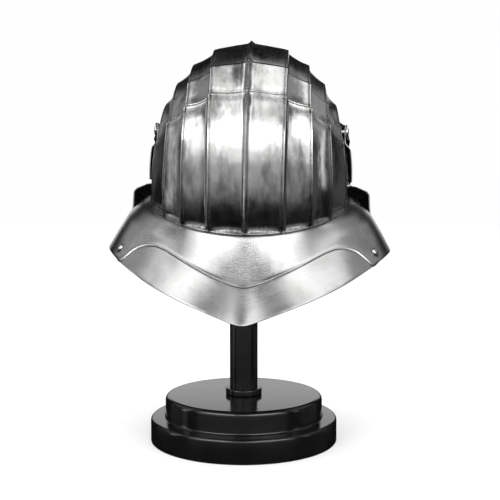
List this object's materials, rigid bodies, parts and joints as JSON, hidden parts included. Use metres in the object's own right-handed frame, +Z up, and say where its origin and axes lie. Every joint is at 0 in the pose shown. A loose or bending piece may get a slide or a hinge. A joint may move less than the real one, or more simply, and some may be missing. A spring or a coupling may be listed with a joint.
{
  "type": "fluted close helmet on display stand",
  "caption": "Fluted steel close helmet with lifting visor and bevor and flared neck plates, seated on a plain round stepped black display stand with a post.",
  "frame": {"origin": "centre of the stand base's underside, on the surface it stands on", "axes": "+Z up; the helmet faces -Y, so its back is towards +Y; +X is the wearer's left. The helmet leans 0.8 degrees and sits 8 mm towards -X"},
  "size_m": [0.2998, 0.3078, 0.4237],
  "materials": {
    "polished_steel": "polished skull, finely brushed neck plates, dark grime in the seams",
    "black_lacquered_wood": "satin-gloss black lacquer",
    "black_painted_metal": "satin-gloss black paint"
  },
  "bodies": {
    "skull_on_stand": {"skull": "polished_steel", "rear_neck_plate": "polished_steel", "neck_rivet_left": "polished_steel", "neck_rivet_right": "polished_steel", "pivot_pin_left": "polished_steel", "pivot_pin_right": "polished_steel", "stand_base": "black_lacquered_wood", "stand_collar": "black_painted_metal", "stand_post": "black_painted_metal", "support_dome": "black_lacquered_wood"},
    "bevor_body": {"bevor": "polished_steel", "front_neck_plate": "polished_steel"},
    "visor_body": {"visor": "polished_steel"}
  },
  "joints": [
    {"name": "bevor_lift", "type": "hinge", "parent": "skull_on_stand", "child": "bevor_body", "pos_m": [-0.0079, 0, 0.3297], "axis": [-0.9999, 0, -0.014], "range_deg": [0, 45]},
    {"name": "visor_lift", "type": "hinge", "parent": "bevor_body", "child": "visor_body", "pos_m": [-0.0079, 0, 0.3297], "axis": [-0.9999, 0, -0.014], "range_deg": [0, 60]}
  ]
}
